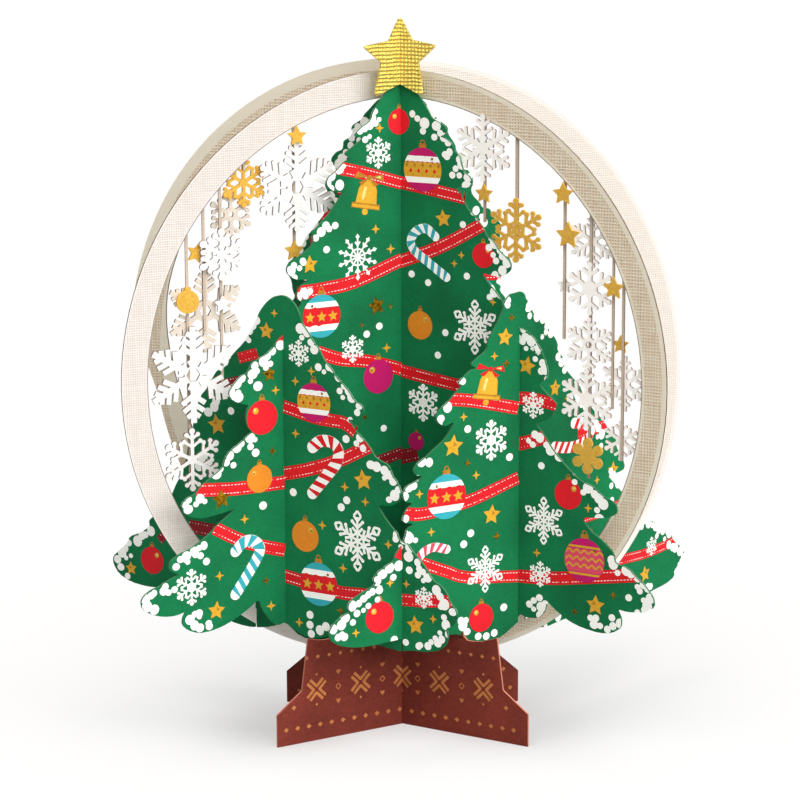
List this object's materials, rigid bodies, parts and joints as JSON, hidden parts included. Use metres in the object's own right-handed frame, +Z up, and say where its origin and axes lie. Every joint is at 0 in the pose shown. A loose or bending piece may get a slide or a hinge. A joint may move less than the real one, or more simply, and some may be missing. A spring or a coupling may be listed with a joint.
{
  "type": "pop-up card",
  "caption": "Standing pop-up card of slotted sheets: a tree with smaller trees in front, a round frame, hanging die-cut shapes, a star on top and a crossed foot.",
  "frame": {"origin": "crossing of the two foot sheets, on the surface the card stands on", "axes": "+Z up, front faces -Y, +X to the viewer's right"},
  "size_m": [0.1688, 0.0956, 0.1957],
  "materials": {
    "tree_card": "printed, matte",
    "linen_card": "linen texture, matte",
    "foot_card": "printed, matte",
    "gold_card": "gold foil",
    "strip_card": "matte",
    "cream_card": "matte"
  },
  "bodies": {
    "root": {"bauble_left": "gold_card", "flake_left_1": "cream_card", "flake_left_2": "cream_card", "flake_left_3": "cream_card", "flake_left_4": "cream_card", "flake_left_5": "cream_card", "flake_left_6": "cream_card", "flake_left_gold": "gold_card", "flake_right_1": "cream_card", "flake_right_2": "cream_card", "flake_right_3": "cream_card", "flake_right_4": "cream_card", "flake_right_5": "cream_card", "flake_right_6": "cream_card", "flake_right_7": "cream_card", "flake_right_gold": "gold_card", "flower_right": "gold_card", "foot_left": "foot_card", "foot_right": "foot_card", "frame_ring_a": "linen_card", "frame_ring_b": "linen_card", "star_left_1": "gold_card", "star_left_2": "gold_card", "star_left_3": "gold_card", "star_left_4": "cream_card", "star_right_1": "gold_card", "star_right_2": "gold_card", "star_right_3": "gold_card", "star_right_4": "cream_card", "star_right_5": "gold_card", "star_right_6": "gold_card", "strip_left_1": "strip_card", "strip_left_2": "strip_card", "strip_left_3": "strip_card", "strip_left_4": "strip_card", "strip_left_5": "strip_card", "strip_right_1": "strip_card", "strip_right_2": "strip_card", "strip_right_3": "strip_card", "strip_right_4": "strip_card", "strip_right_5": "strip_card", "strip_right_6": "strip_card", "top_star": "gold_card", "tree_front_a": "tree_card", "tree_front_b": "tree_card", "tree_rear_a": "tree_card", "tree_rear_b": "tree_card"}
  },
  "joints": []
}
